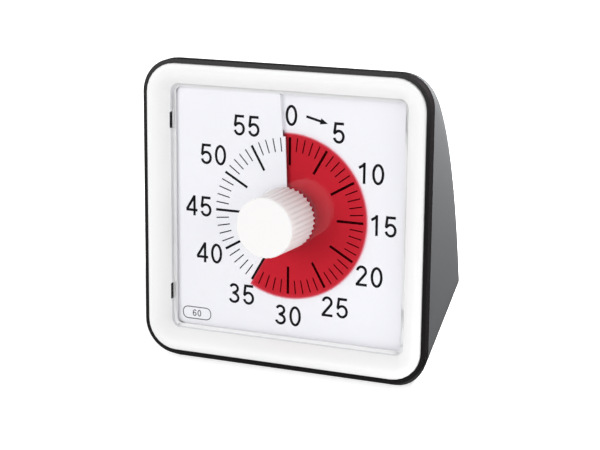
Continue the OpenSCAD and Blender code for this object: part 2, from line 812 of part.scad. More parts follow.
module alarm_contact() {
    // leaf that the arbor's lug lifts at zero, fixed to the board's edge
    color([0.85, 0.7, 0.35]) {
        slab(cam_front + 0.2, cam_back - 0.2) translate([leaf_x, board_at[1] + 8])
            square([0.3, 15]);
        slab(board_front - 0.5, cam_back - 0.2) translate([leaf_x, board_at[1] + 8])
            square([0.3, 1.6]);
        slab(board_front - 0.5, board_front) translate([leaf_x, board_at[1] + 8])
            square([2.4, 1.6]);
    }
}

module buzzer() {
    color([0.08, 0.08, 0.08]) difference() {
        bar(buzzer_at, buzzer_r, cover_back, cover_back + buzzer_h);
        bar(buzzer_at, 1.5, cover_back + 1.2, cover_back + buzzer_h + 1);
    }
}

// ---------------------------------------------------------------- battery bay

module battery_tray() {
    low = -cell_drop - tray_half_h;
    color([0.22, 0.22, 0.23]) difference() {
        slab(cover_back, cell_depth + 4) translate([-tray_half_l, low])
            square([2 * tray_half_l, 2 * tray_half_h]);
        slab(cover_back + tray_t, cell_depth + 5)
            translate([-tray_half_l + tray_t, low + tray_t])
                square([2 * (tray_half_l - tray_t), 2 * (tray_half_h - tray_t)]);
        // corners of the movement stay free for its screws
        for (p = move_screws) bar(p, 2.3, cover_back - 1, cover_back + 1.4);
        for (s = [-1, 1]) slab(cover_back - 1, cover_back + tray_t + 1)
            translate([s * tail_x - 1.4, -cell_drop - 1]) square([2.8, 2]);
    }
}

module cell_frame() {
    translate([0, cell_depth, -cell_drop]) rotate([0, 90, 0]) children();
}

module battery_cell() {
    body_l = cell_l - 1.2;
    color([0.25, 0.27, 0.3]) cell_frame() {
        translate([0, 0, -cell_l / 2]) cylinder(r = cell_r, h = body_l);
        translate([0, 0, cell_l / 2 - 1.3]) cylinder(r = 2.7, h = 1.3);
    }
}

module positive_contact() {
    x = tray_half_l - tray_t - 0.5;
    color([0.85, 0.85, 0.86]) {
        translate([x, cell_depth - 5, -cell_drop - 5]) cube([0.4, 8, 10]);
        cell_frame() translate([0, 0, cell_l / 2])
            cylinder(r1 = 1.6, r2 = 2.4, h = x + 0.05 - cell_l / 2);
        contact_tail(1, x);
    }
}

// Strip from a contact down through the tray and the movement's lid
module contact_tail(side, x) {
    low = cover_back + tray_t;
    translate([min(side * x, side * x + side * 0.4), low, -cell_drop - 0.8])
        cube([0.4, cell_depth - 4 - low, 1.6]);
    translate([side > 0 ? tail_x - strip_t : -x - 0.4, low, -cell_drop - 0.8])
        cube([x + 0.4 + strip_t - tail_x, strip_t, 1.6]);
    translate([side * tail_x - strip_t, move_back - 0.6, -cell_drop - 0.8])
        cube([2 * strip_t, low + strip_t - move_back + 0.6, 1.6]);
}

module negative_spring() {
    x = tray_half_l - tray_t - 0.5;
    room = x - cell_l / 2 - spring_wire;
    n = 8 * spring_turns;
    color([0.82, 0.82, 0.84]) {
        translate([-x - 0.4, cell_depth - 5, -cell_drop - 5]) cube([0.4, 8, 10]);
        contact_tail(-1, x);
        // cone spring, wide at the plate
        translate([-x - 0.05, cell_depth, -cell_drop]) skin([for (i = [0:n])
            let (u = i / n, a = 360 * spring_turns * u, r = 4.4 - 2.2 * u, c = room * u)
            [for (j = [0:5]) let (b = -60 * j, q = r + spring_wire * cos(b))
                [c + spring_wire * sin(b), q * cos(a), q * sin(a)]]]);
    }
}

module battery_door() {
    color([0.16, 0.16, 0.17]) {
        intersection() {
            difference() {
                case_form(0, rim_back);
                case_form(door_t, rim_back - 1);
            }
            on_back(door_s) difference() {
                translate([-door_half_w, -6, hinge_up])
                    cube([2 * door_half_w, 12, door_half_h - hinge_up]);
                // cuts that free the latch tongue
                for (s = [-1, 1]) translate([s * 5 - 0.4, -8, door_half_h - 5])
                    cube([0.8, 16, 6]);
            }
        }
        on_back(door_s) {
            translate([0, -hinge_in, hinge_up]) rotate([0, 90, 0]) {
                cylinder(r = hinge_r, h = 2 * door_half_w, center = true);
                cylinder(r = hinge_pin_r, h = 2 * (hinge_end - 0.2), center = true);
            }
            // finger rib on the latch tongue
            translate([-3.5, -0.4, door_half_h - 2.6]) cube([7, 1.1, 1]);
        }
    }
}

// ---------------------------------------------------------------- sound switch

module switch_body() {
    color([0.1, 0.1, 0.1]) on_back(switch_s, switch_at[0]) difference() {
        translate([-8, -wall - 5.2, -4]) cube([16, 5, 8]);
        translate([-slot_half_w - 0.6, -wall - 3, -2.4])
            cube([2 * slot_half_w + 1.2, 4, 4.8]);
    }
}

module switch_slider() {
    color([0.85, 0.85, 0.85]) on_back(switch_s, switch_at[0]) translate([slider_rest, 0, 0]) {
        translate([-slider_w / 2, -wall - 1, -slider_h / 2])
            cube([slider_w, wall + 1 + slider_out, slider_h]);
        translate([-slider_w / 2 - 0.2, -wall - 2.7, -2.1]) cube([slider_w + 0.4, 2.2, 4.2]);
    }
}

// ---------------------------------------------------------------- screws

module screw(d, head_r, head_h, length) {
    // head towards +Y, shank towards the face
    rotate([90, 0, 0]) {
        cylinder(r = d / 2, h = length);
        translate([0, 0, -head_h]) difference() {
            cylinder(r = head_r, h = head_h);
            for (a = [0, 90]) rotate(a)
                translate([-head_r * 0.6, -0.25, -0.01]) cube([head_r * 1.2, 0.5, head_h * 0.5]);
        }
    }
}

module case_screws() {
    color([0.7, 0.7, 0.72]) at_corners(post_x, post_z) translate([0, post_back + 1.6, 0])
        screw(screw_d, screw_head_r, 1.4, post_back + 1.6 - post_front - 1);
}

module carrier_screws() {
    color([0.7, 0.7, 0.72]) at_corners(ear_at, ear_at) translate([0, carrier_back, 0])
        screw(small_screw_d, 1.5, 1.1, carrier_back - 4);
}

module movement_screws() {
    color([0.7, 0.7, 0.72]) for (p = move_screws) translate([p[0], cover_back, p[1]])
        screw(small_screw_d, 1.5, 1.1, cover_back - carrier_front - 0.3);
}

at_rest() rear_case();
at_rest() front_frame();
at_rest() bezel();
at_rest() dial_plate();
at_rest() dial_carrier();
at_rest() time_disc();
at_rest() disc_hub();
at_rest() knob();
at_rest() knob_arbor();
at_rest() movement_housing();
at_rest() movement_cover();
at_rest() stator();
at_rest() coil();
at_rest() rotor();
at_rest() intermediate_wheel();
at_rest() second_wheel();
at_rest() third_wheel();
at_rest() centre_wheel();
at_rest() clutch_spring();
at_rest() circuit_board();
at_rest() quartz_crystal();
at_rest() chip();
at_rest() alarm_contact();
at_rest() buzzer();
at_rest() battery_tray();
at_rest() battery_cell();
at_rest() positive_contact();
at_rest() negative_spring();
at_rest() battery_door();
at_rest() switch_body();
at_rest() switch_slider();
at_rest() case_screws();
at_rest() carrier_screws();
at_rest() movement_screws();
at_rest() lens();
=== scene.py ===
import itertools
import json
import math

import bmesh
import bpy
from mathutils import Matrix, Vector


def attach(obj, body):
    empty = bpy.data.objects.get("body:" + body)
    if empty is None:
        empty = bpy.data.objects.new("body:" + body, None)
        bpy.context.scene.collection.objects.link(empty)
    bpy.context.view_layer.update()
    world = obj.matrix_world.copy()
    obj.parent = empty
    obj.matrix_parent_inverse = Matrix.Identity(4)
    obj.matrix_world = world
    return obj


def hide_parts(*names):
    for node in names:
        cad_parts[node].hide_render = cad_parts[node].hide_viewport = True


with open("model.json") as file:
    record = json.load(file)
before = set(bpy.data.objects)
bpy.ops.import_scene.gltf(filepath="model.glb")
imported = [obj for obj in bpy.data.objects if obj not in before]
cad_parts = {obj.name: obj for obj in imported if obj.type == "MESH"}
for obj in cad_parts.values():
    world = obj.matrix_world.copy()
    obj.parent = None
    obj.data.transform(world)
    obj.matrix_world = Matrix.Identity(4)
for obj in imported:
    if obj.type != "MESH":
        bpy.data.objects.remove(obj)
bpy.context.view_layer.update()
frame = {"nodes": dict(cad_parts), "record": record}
scene = bpy.context.scene
nodes = frame["nodes"]
mm = 0.001

# the face is drawn upright, in millimetres: x right, y depth into the case, z up
face = {
    "lean": 30.0, "rimHalf": 43.0, "rimBack": 3.9, "rimSet": 0.84, "baseDrop": 1.3,
    "caseDepth": 39.8, "crownReach": 13.8, "backReach": 40.2, "backSlope": 10.4, "steps": 36,
}


# a point of the case's back, from the rim's top down to the heel
def backCurve(t):
    lean = math.radians(face["lean"])
    slope = math.radians(face["backSlope"])
    crown = Vector((face["rimBack"], face["rimHalf"]))
    foot = Vector((face["rimBack"], -face["rimHalf"] - face["baseDrop"]))
    rise = (face["caseDepth"] - face["rimBack"]) * math.tan(lean)
    heel = Vector((face["caseDepth"], foot.y + rise))
    crownArm = crown + Vector((face["crownReach"], 0))
    backArm = heel + face["backReach"] * Vector((-math.sin(slope), math.cos(slope)))
    s = 1 - t
    return crown * s ** 3 + crownArm * 3 * t * s * s + backArm * 3 * t * t * s + heel * t ** 3


# from the upright face to the leaning timer on the floor, in metres
leanAngle = math.radians(face["lean"])
backPoints = [backCurve(i / face["steps"]) for i in range(face["steps"] + 1)]
backY = max(p.x * math.cos(leanAngle) + p.y * math.sin(leanAngle) for p in backPoints)
frontY = face["rimSet"] * math.cos(leanAngle) - face["rimHalf"] * math.sin(leanAngle)
middleY = (frontY + backY) / 2
baseZ = -face["rimHalf"] - face["baseDrop"]
ground = baseZ * math.cos(leanAngle) - face["rimBack"] * math.sin(leanAngle)
toRow = (Matrix.Translation((0, -middleY * mm, -ground * mm))
         @ Matrix.Rotation(-leanAngle, 4, "X") @ Matrix.Scale(mm, 4))

# the photograph's camera, seen from the upright face; focal and width in pixels
camera = {
    "focal": 1669.57, "width": 600.0, "sensor": 36, "near": 0.01,
    "place": (183.945, -412.411, 101.253),
    "right": (0.917333, 0.398012, 0.009287),
    "down": (0.096404, -0.199439, -0.975157),
    "ahead": (-0.386272, 0.895439, -0.221322),
}


def makeCamera():
    data = bpy.data.cameras.new("camera")
    data.sensor_width = camera["sensor"]
    data.lens = camera["focal"] / camera["width"] * camera["sensor"]
    data.clip_start = camera["near"]
    turn = toRow.to_3x3().normalized()
    right = turn @ Vector(camera["right"])
    up = turn @ -Vector(camera["down"])
    back = turn @ -Vector(camera["ahead"])
    axes = Matrix((right, up, back)).transposed().to_quaternion().to_matrix().to_4x4()
    cam = bpy.data.objects.new("camera", data)
    cam.matrix_world = Matrix.Translation(toRow @ Vector(camera["place"])) @ axes
    scene.collection.objects.link(cam)
    scene.camera = cam
    print("camera stands at", [round(v, 4) for v in cam.location])


makeCamera()
finish = {}


# a socket is linked to the input, anything else is its fixed value
def setInputs(node, inputs):
    for key, value in inputs.items():
        if isinstance(value, bpy.types.NodeSocket):
            node.id_data.links.new(value, node.inputs[key])
        else:
            node.inputs[key].default_value = value


def addNode(tree, kind, inputs=None, **settings):
    node = tree.nodes.new(kind)
    for name, value in settings.items():
        setattr(node, name, value)
    setInputs(node, inputs or {})
    return node


def mathNode(tree, operation, *terms):
    node = addNode(tree, "ShaderNodeMath", dict(enumerate(terms)), operation=operation)
    return node.outputs["Value"]


# 1 for rays of the named kinds, 0 for all others
def raysOf(tree, *kinds):
    path = addNode(tree, "ShaderNodeLightPath")
    found = path.outputs[kinds[0]]
    for kind in kinds[1:]:
        found = mathNode(tree, "MAXIMUM", found, path.outputs[kind])
    return found


# a point's x, y and z in the upright face, in millimetres
def faceCoords(tree):
    coords = addNode(tree, "ShaderNodeTexCoord")
    place = addNode(tree, "ShaderNodeMapping", {
        "Vector": coords.outputs["Object"], "Location": toRow.to_translation(),
        "Rotation": (-leanAngle, 0, 0), "Scale": (mm, mm, mm)}, vector_type="TEXTURE")
    return addNode(tree, "ShaderNodeSeparateXYZ", {"Vector": place.outputs["Vector"]}).outputs


def newFinish(name):
    mat = bpy.data.materials.new(name)
    mat.use_nodes = True
    finish[name] = mat
    return mat.node_tree, mat.node_tree.nodes["Principled BSDF"]


def noiseOf(tree, scale, detail):
    coords = addNode(tree, "ShaderNodeTexCoord")
    noise = addNode(tree, "ShaderNodeTexNoise", {
        "Vector": coords.outputs["Object"], "Scale": scale, "Detail": detail})
    return noise.outputs["Fac"]


# moulded or metal surface: a slow drift of its colour, a fine grain in its gloss and bump
moulded = {"drift": 35.0, "driftDetail": 3.0, "grainDetail": 2.0, "grainScale": 10,
           "glossSpread": 0.12, "coatRough": 0.05, "bumpStrength": 10}


def plastic(name, colour, rough, grain=900.0, depth=0.01, shade=0.03, coat=0.0, metal=0.0,
            ior=1.45):
    tree, shader = newFinish(name)
    drift = noiseOf(tree, moulded["drift"], moulded["driftDetail"])
    fine = noiseOf(tree, grain * moulded["grainScale"], moulded["grainDetail"])
    low = [max(0.0, c * (1 - shade)) for c in colour] + [1]
    high = [min(1.0, c * (1 + shade)) for c in colour] + [1]
    tone = addNode(tree, "ShaderNodeMix", {"Factor": drift, "A": low, "B": high},
                   data_type="RGBA")
    gloss = addNode(tree, "ShaderNodeMapRange", {
        "Value": fine, "To Min": rough * (1 - moulded["glossSpread"]),
        "To Max": rough * (1 + moulded["glossSpread"])})
    bump = addNode(tree, "ShaderNodeBump", {
        "Height": fine, "Strength": min(1.0, depth * moulded["bumpStrength"]),
        "Distance": depth * mm})
    setInputs(shader, {
        "Base Color": tone.outputs["Result"], "Roughness": gloss.outputs["Result"],
        "Normal": bump.outputs["Normal"], "Metallic": metal, "IOR": ior,
        "Coat Weight": coat, "Coat Roughness": moulded["coatRough"]})


# only this share of the light meets the surface, the rest goes straight on, tinted
def letThrough(name, share, tint):
    tree = finish[name].node_tree
    clear = addNode(tree, "ShaderNodeBsdfTransparent", {"Color": tint})
    mix = addNode(tree, "ShaderNodeMixShader", {
        "Fac": share, 1: clear.outputs["BSDF"],
        2: tree.nodes["Principled BSDF"].outputs["BSDF"]})
    setInputs(tree.nodes["Material Output"], {"Surface": mix.outputs["Shader"]})


# flat clear acrylic: mirrors a little, more at a slant
window = {"tint": (0.996, 0.997, 0.999, 1), "ior": 1.3, "wear": 260.0, "wearDetail": 4.0,
          "gloss": (0.006, 0.02)}


def clearWindow(name):
    tree, shader = newFinish(name)
    gloss = addNode(tree, "ShaderNodeMapRange", {
        "Value": noiseOf(tree, window["wear"], window["wearDetail"]),
        "To Min": window["gloss"][0], "To Max": window["gloss"][1]})
    setInputs(shader, {"Base Color": (1, 1, 1, 1), "Metallic": 1,
                       "Roughness": gloss.outputs["Result"]})
    mirrored = addNode(tree, "ShaderNodeFresnel", {"IOR": window["ior"]}).outputs["Fac"]
    # the lamps' light passes whole: only seen and mirrored rays meet the gloss
    seen = mathNode(tree, "SUBTRACT", 1.0, raysOf(tree, "Is Shadow Ray", "Is Diffuse Ray"))
    letThrough(name, mathNode(tree, "MULTIPLY", seen, mirrored), window["tint"])


# the acrylic's cut edge is clear and a little milky
edgeOfWindow = {"milk": (0.62, 0.61, 0.66), "rough": 0.4, "ior": 1.3, "share": 0.16,
                "tint": (0.98, 0.98, 0.99, 1), "facing": 0.9}


def windowEdge(name):
    plastic(name, edgeOfWindow["milk"], edgeOfWindow["rough"], ior=edgeOfWindow["ior"])
    letThrough(name, edgeOfWindow["share"], edgeOfWindow["tint"])


# coloured film; a paler band along its cut edge is painted light, the pink glow where light
# passes the film's edge; the edge's distances are from the knob's axis
film = {"colour": (0.63, 0.021, 0.037), "rough": 0.22, "ior": 1.3, "share": 0.01,
        "tint": (0.920, 0.393, 0.447, 1), "edgeGlowTint": (0.985, 0.86, 0.88, 1),
        "edgeGlowFrom": 23.15, "edgeGlowTo": 23.8}


def redFilm(name):
    plastic(name, film["colour"], film["rough"], grain=400, depth=0.002, shade=0.02,
            ior=film["ior"])
    tree = finish[name].node_tree
    spot = faceCoords(tree)
    squares = [mathNode(tree, "POWER", spot[axis], 2.0) for axis in "XZ"]
    # painted edge glow: the film's tint turns pale towards its cut edge
    ramp = addNode(tree, "ShaderNodeMapRange", {
        "Value": mathNode(tree, "SQRT", mathNode(tree, "ADD", *squares)),
        "From Min": film["edgeGlowFrom"], "From Max": film["edgeGlowTo"]},
        interpolation_type="SMOOTHSTEP")
    tint = addNode(tree, "ShaderNodeMix", {
        "Factor": ramp.outputs["Result"], "A": film["tint"], "B": film["edgeGlowTint"]},
        data_type="RGBA")
    letThrough(name, film["share"], tint.outputs["Result"])


# painted shade in the knob's flutes, on its side but not its flat front, tinted pink as a
# painted red bounce from the film
fluteShade = {"ribs": 36.0, "shade": (0.58, 0.54, 0.535, 1), "share": 0.36, "grooveFrom": -0.2,
         "frontEnd": -10.6, "sideStart": -8.0}


def groovesIn(name):
    tree = finish[name].node_tree
    shader = tree.nodes["Principled BSDF"]
    spot = faceCoords(tree)
    turn = mathNode(tree, "ARCTAN2", spot["X"], spot["Z"])
    wave = mathNode(tree, "COSINE", mathNode(tree, "MULTIPLY", turn, fluteShade["ribs"]))
    groove = addNode(tree, "ShaderNodeMapRange", {
        "Value": wave, "From Min": fluteShade["grooveFrom"], "To Max": fluteShade["share"]})
    side = addNode(tree, "ShaderNodeMapRange", {
        "Value": spot["Y"], "From Min": fluteShade["frontEnd"], "From Max": fluteShade["sideStart"]})
    both = mathNode(tree, "MULTIPLY", groove.outputs["Result"], side.outputs["Result"])
    # the painted flute shade is mixed into the knob's own colour
    paintedShade = addNode(tree, "ShaderNodeMix", {
        "Factor": both, "A": shader.inputs["Base Color"].links[0].from_socket,
        "B": fluteShade["shade"]}, data_type="RGBA")
    setInputs(shader, {"Base Color": paintedShade.outputs["Result"]})


plastic("caseGrey", (0.053, 0.054, 0.056), 0.5, grain=1400, depth=0.02, shade=0.05, ior=1.15)
plastic("frameBlack", (0.007, 0.006, 0.0065), 0.17, grain=300, depth=0.002, shade=0.1, ior=1.3)
plastic("faceWhite", (0.90, 0.90, 0.90), 0.32, grain=700, depth=0.003, shade=0.01, ior=1.3)
plastic("gripWhite", (0.90, 0.89, 0.885), 0.32, grain=700, depth=0.003, shade=0.01, ior=1.3)
groovesIn("gripWhite")
plastic("dialWhite", (0.90, 0.90, 0.935), 0.5, grain=2500, depth=0.002, shade=0.006, ior=1.3)
# near-black: painted shade on the walls of the bezel's slots, and the studio cards' own colour
plastic("slotShadeAndCardBlack", (0.004, 0.004, 0.004), 0.6, ior=1.1)
plastic("innerWhite", (0.80, 0.80, 0.79), 0.45)
plastic("innerBlack", (0.03, 0.03, 0.031), 0.4)
plastic("hubRed", (0.42, 0.02, 0.03), 0.35)
plastic("gearWhite", (0.82, 0.81, 0.77), 0.35)
plastic("steel", (0.60, 0.60, 0.61), 0.28, grain=500, metal=1.0)
plastic("brass", (0.78, 0.58, 0.26), 0.26, grain=500, metal=1.0)
plastic("copper", (0.72, 0.33, 0.16), 0.35, grain=1200, depth=0.03, metal=1.0)
plastic("magnetGrey", (0.12, 0.12, 0.13), 0.45, metal=0.6)
plastic("boardGreen", (0.03, 0.16, 0.07), 0.3, grain=300)
plastic("cellWrap", (0.05, 0.055, 0.07), 0.25, grain=200, coat=0.3)
plastic("printBlack", (0.009, 0.009, 0.011), 0.5, grain=2500, depth=0.002, ior=1.15)
plastic("printGrey", (0.16, 0.16, 0.17), 0.5, grain=2500, depth=0.002, ior=1.15)
clearWindow("lensClear")
windowEdge("lensEdge")
redFilm("filmRed")
print("finishes:", len(finish))

nodeFinish = {
    "rear_case": "caseGrey", "battery_door": "caseGrey", "front_frame": "frameBlack",
    "bezel": "faceWhite", "knob": "gripWhite", "lens": "lensClear", "dial_plate": "dialWhite",
    "dial_carrier": "innerWhite", "time_disc": "filmRed", "disc_hub": "hubRed",
    "knob_arbor": "steel", "movement_housing": "innerBlack", "movement_cover": "innerBlack",
    "stator": "steel", "coil": "copper", "rotor": "magnetGrey",
    "intermediate_wheel": "gearWhite", "second_wheel": "gearWhite",
    "third_wheel": "gearWhite", "centre_wheel": "brass", "clutch_spring": "steel",
    "circuit_board": "boardGreen", "quartz_crystal": "steel", "chip": "innerBlack",
    "alarm_contact": "brass", "buzzer": "innerBlack", "battery_tray": "innerBlack",
    "battery_cell": "cellWrap", "positive_contact": "steel", "negative_spring": "steel",
    "switch_body": "innerBlack", "switch_slider": "frameBlack", "case_screws": "steel",
    "carrier_screws": "steel", "movement_screws": "steel",
}
for nodeName, finishName in nodeFinish.items():
    mesh = nodes[nodeName].data
    mesh.materials.clear()
    mesh.materials.append(finish[finishName])
print("nodes with a finish:", len(nodeFinish))

bodyOf = {n: b for b, names in frame["record"]["behaviour"]["bodies"].items() for n in names}


def addPiece(name, mesh, body, replaced=()):
    piece = bpy.data.objects.new(name, mesh)
    scene.collection.objects.link(piece)
    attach(piece, body)
    if replaced:
        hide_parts(*replaced)
    return piece


def finishMesh(name, bm, *finishNames):
    mesh = bpy.data.meshes.new(name)
    bm.to_mesh(mesh)
    bm.free()
    for finishName in finishNames:
        mesh.materials.append(finish[finishName])
    return mesh


# smooth shading where faces meet at less than the angle
def markSharp(bm, angle):
    limit = math.radians(angle)
    for f in bm.faces:
        f.smooth = True
    for e in bm.edges:
        e.smooth = len(e.link_faces) == 2 and e.calc_face_angle(0.0) < limit


def evenOut(piece):
    piece.modifiers.new("evenOut", "WEIGHTED_NORMAL").keep_sharp = True


# the outer nodes as merged copies with smooth shading: piece name and angle
smoothPieces = {
    "rear_case": ("rearShell", 24), "front_frame": ("blackRim", 24),
    "bezel": ("whiteBezel", 24), "time_disc": ("filmDisc", 20),
    "dial_plate": ("dialSheet", 20), "knob": ("gripKnob", 24),
    "battery_door": ("batteryDoor", 24), "lens": ("lensWindow", 24),
}


def smoothCopy(node, name, angle):
    mesh = nodes[node].data.copy()
    mesh.name = name
    bm = bmesh.new()
    bm.from_mesh(mesh)
    bmesh.ops.remove_doubles(bm, verts=bm.verts, dist=1e-6)
    markSharp(bm, angle)
    bm.to_mesh(mesh)
    bm.free()
    evenOut(addPiece(name, mesh, bodyOf[node], [node]))


# the window's narrow sides get the finish of a cut edge
def markWindowEdge():
    mesh = bpy.data.objects["lensWindow"].data
    mesh.materials.append(finish["lensEdge"])
    across = toRow.to_3x3().normalized() @ Vector((0, 1, 0))
    for side in mesh.polygons:
        side.material_index = int(abs(side.normal.dot(across)) < edgeOfWindow["facing"])


for nodeName, (pieceName, angle) in smoothPieces.items():
    smoothCopy(nodeName, pieceName, angle)
markWindowEdge()
print("smooth copies:", len(smoothPieces))

# the band dips from its lip to the opening; slots stand beside the window's tabs
bezel = {
    "corner": 33.15, "arcSteps": 7, "lip": 40.35, "band": 4.55, "dish": 3.3, "dishPower": 1.8,
    "bandSteps": 8, "clearFrom": 3, "clearance": 0.002, "front": -1,
    "ledgeHalf": 34.9, "ledgeDepth": 4.298, "weld": 2e-6, "smooth": 24,
    "slots": [{"x": (35.7, 35.92), "y": (1.5, 3.5), "z": (22.9, 27.3)},
              {"x": (35.7, 36.58), "y": (3.27, 4.34), "z": (22.72, 27.48)}],
    "oldSlots": {"x": (36.95, 37.35), "z": (22.95, 27.25)},
}


# closed ring along the face's rounded square, from points of half width and depth
def faceRing(section):
    bm = bmesh.new()
    corner = bezel["corner"]
    bmesh.ops.create_grid(bm, x_segments=1, y_segments=1, size=corner + 1)
    bmesh.ops.bevel(bm, geom=list(bm.verts), offset=1, segments=bezel["arcSteps"],
                    profile=0.5, affect="VERTICES", material=-1)
    bmesh.ops.delete(bm, geom=list(bm.faces), context="FACES_ONLY")
    standUp(bm)
    first = loop = list(bm.edges)
    for step, (half, depth) in enumerate(section):
        if step:
            made = set(bmesh.ops.extrude_edge_only(bm, edges=loop)["geom"])
            loop = [e for e in bm.edges if e.verts[0] in made and e.verts[1] in made]
        for v in {v for e in loop for v in e.verts}:
            centre = Vector((math.copysign(corner, v.co.x), 0, math.copysign(corner, v.co.z)))
            out = Vector((v.co.x, 0, v.co.z)) - centre
            v.co = centre + out.normalized() * (half - corner) + Vector((0, depth, 0))
    bmesh.ops.bridge_loops(bm, edges=first + loop)
    bmesh.ops.recalc_face_normals(bm, faces=bm.faces)
    return bm


# turns a drawing in x and y upright, to x and z
def standUp(bm):
    upright = Matrix.Rotation(math.radians(90), 3, "X")
    bmesh.ops.rotate(bm, cent=(0, 0, 0), matrix=upright, verts=bm.verts)


def addBox(bm, place, size, turn=Matrix()):
    made = bmesh.ops.create_cube(bm, size=1)["verts"]
    box = turn @ Matrix.Translation(place) @ Matrix.Diagonal((*size, 1))
    bmesh.ops.transform(bm, matrix=box, verts=made)
    return made


def fillOldSlots(mesh):
    back = toRow.inverted()
    old = bezel["oldSlots"]
    bm = bmesh.new()
    bm.from_mesh(mesh)
    inside = {}
    for v in bm.verts:
        p = back @ v.co
        inside[v] = all(old[axis][0] < abs(getattr(p, axis)) < old[axis][1] for axis in "xz")
    walls = [f for f in bm.faces if all(inside[v] for v in f.verts)]
    bmesh.ops.delete(bm, geom=walls, context="FACES")
    bmesh.ops.holes_fill(bm, edges=[e for e in bm.edges if e.is_boundary], sides=0)
    bmesh.ops.recalc_face_normals(bm, faces=bm.faces)
    bm.to_mesh(mesh)
    bm.free()


# the space in front of the band and before the window's ledge, with the four slots, whose walls
# are painted near-black as shade
def makeCutter():
    steps, gap, front = bezel["bandSteps"], bezel["clearance"], bezel["front"]
    curve = [(bezel["lip"] - bezel["band"] * i / steps,
              bezel["dish"] * (i / steps) ** bezel["dishPower"] - gap)
             for i in range(bezel["clearFrom"], steps + 1)]
    wall, inner, ledge = curve[-1][0] - gap, bezel["ledgeHalf"], bezel["ledgeDepth"]
    bm = faceRing(curve + [(wall, ledge), (inner, ledge), (inner, front), (curve[0][0], front)])
    for side, high, slot in itertools.product((-1, 1), (-1, 1), bezel["slots"]):
        size = [slot[axis][1] - slot[axis][0] for axis in "xyz"]
        x, y, z = [sum(slot[axis]) / 2 for axis in "xyz"]
        made = addBox(bm, (side * x, y, high * z), size)
        # the slots' walls take the near-black finish: painted shade of a deep hole
        for f in {f for v in made for f in v.link_faces}:
            f.material_index = 1
    bmesh.ops.transform(bm, matrix=toRow, verts=bm.verts)
    cutter = bpy.data.objects.new("cutter", finishMesh("cutter", bm, "faceWhite", "slotShadeAndCardBlack"))
    scene.collection.objects.link(cutter)
    return cutter


# the mesh of an object with its modifiers or its bevel applied
def appliedMesh(holder):
    bpy.context.view_layer.update()
    graph = bpy.context.evaluated_depsgraph_get()
    return bpy.data.meshes.new_from_object(holder.evaluated_get(graph))


def sortParts(parts, key):
    rank = {part: i for i, part in enumerate(sorted(parts, key=key))}
    parts.sort(key=rank.get)
    parts.index_update()


# frees the band's corners of the screw ears behind it, and cuts the slots with walls painted
# near-black as shade
def trimBezel(piece):
    fillOldSlots(piece.data)
    cutter = makeCutter()
    piece.modifiers.clear()
    cut = piece.modifiers.new("cut", "BOOLEAN")
    cut.operation = "DIFFERENCE"
    cut.solver = "EXACT"
    cut.use_self = True
    cut.material_mode = "TRANSFER"
    cut.object = cutter
    mesh = appliedMesh(piece)
    bpy.data.objects.remove(cutter)
    bm = bmesh.new()
    bm.from_mesh(mesh)
    # the cut's points come in no fixed order: sorted, they merge alike each run
    sortParts(bm.verts, lambda v: v.co[:])
    for parts in (bm.edges, bm.faces):
        sortParts(parts, lambda part: sorted(v.index for v in part.verts))
    bmesh.ops.remove_doubles(bm, verts=bm.verts, dist=bezel["weld"])
    bmesh.ops.dissolve_degenerate(bm, edges=bm.edges, dist=bezel["weld"])
    markSharp(bm, bezel["smooth"])
    bm.to_mesh(mesh)
    openEdges = sum(not e.is_manifold for e in bm.edges)
    bm.free()
    piece.modifiers.clear()
    piece.data = mesh
    evenOut(piece)
    print("bezel trimmed:", len(mesh.polygons), "faces, open edges", openEdges)


trimBezel(bpy.data.objects["whiteBezel"])

# the dial's sheet is one turn of a screw surface; its print lies a hair in front of it
dial = {
    "zero": 6.6, "pitch": 1.25, "sheet": 0.4, "slit": -4.4, "lift": 0.012, "thick": 0.02,
    "tickOut": 22.4, "minorIn": 18.5, "majorIn": 14.5, "minorWide": 0.32, "majorWide": 0.72,
    "figureTall": 5.9, "figureWide": 3.54, "figureStep": 4.5, "stroke": 0.76,
    "figures": {0: (0.4, 28.55), 5: (14.65, 24.7), 10: (24.2, 14.15), 15: (28.15, -0.1),
                20: (24.4, -14.75), 25: (14.3, -24.75), 30: (0.05, -28.8),
                35: (-14.5, -24.15), 40: (-24.6, -13.05), 45: (-27.9, 0.5),
                50: (-23.2, 15.8), 55: (-12.8, 24.85)},
}


# how deep the sheet's printed side lies at a place of the dial
def printDepth(x, z):
    turn = math.degrees(math.atan2(x, z)) % 360
    if turn > 360 + dial["slit"]:
        turn -= 360
    return dial["zero"] - dial["pitch"] * turn / 360 - dial["sheet"] / 2


# drops a flat print, drawn in x and z with its thickness in y, on the sheet
def printPiece(name, bm, finishName, meshName=None):
    for v in bm.verts:
        v.co.y += printDepth(v.co.x, v.co.z) - dial["lift"]
    bmesh.ops.transform(bm, matrix=toRow, verts=bm.verts)
    addPiece(name, finishMesh(meshName or name, bm, finishName), "timer_body")


def makeTicks():
    bm = bmesh.new()
    for minute in range(60):
        kind = "minor" if minute % 5 else "major"
        inner, wide = dial[kind + "In"], dial[kind + "Wide"]
        long = dial["tickOut"] - inner
        turn = Matrix.Rotation(math.radians(6 * minute), 4, "Y")
        addBox(bm, (0, 0, inner + long / 2), (wide, dial["thick"], long), turn)
    printPiece("minuteTicks", bm, "printBlack")


# points of an oval arc, its angles in degrees from the right, counterclockwise
def arc(cx, cz, rx, rz, start, end, steps=20):
    turns = [math.radians(start + (end - start) * i / steps) for i in range(steps + 1)]
    return [(cx + rx * math.cos(a), cz + rz * math.sin(a)) for a in turns]


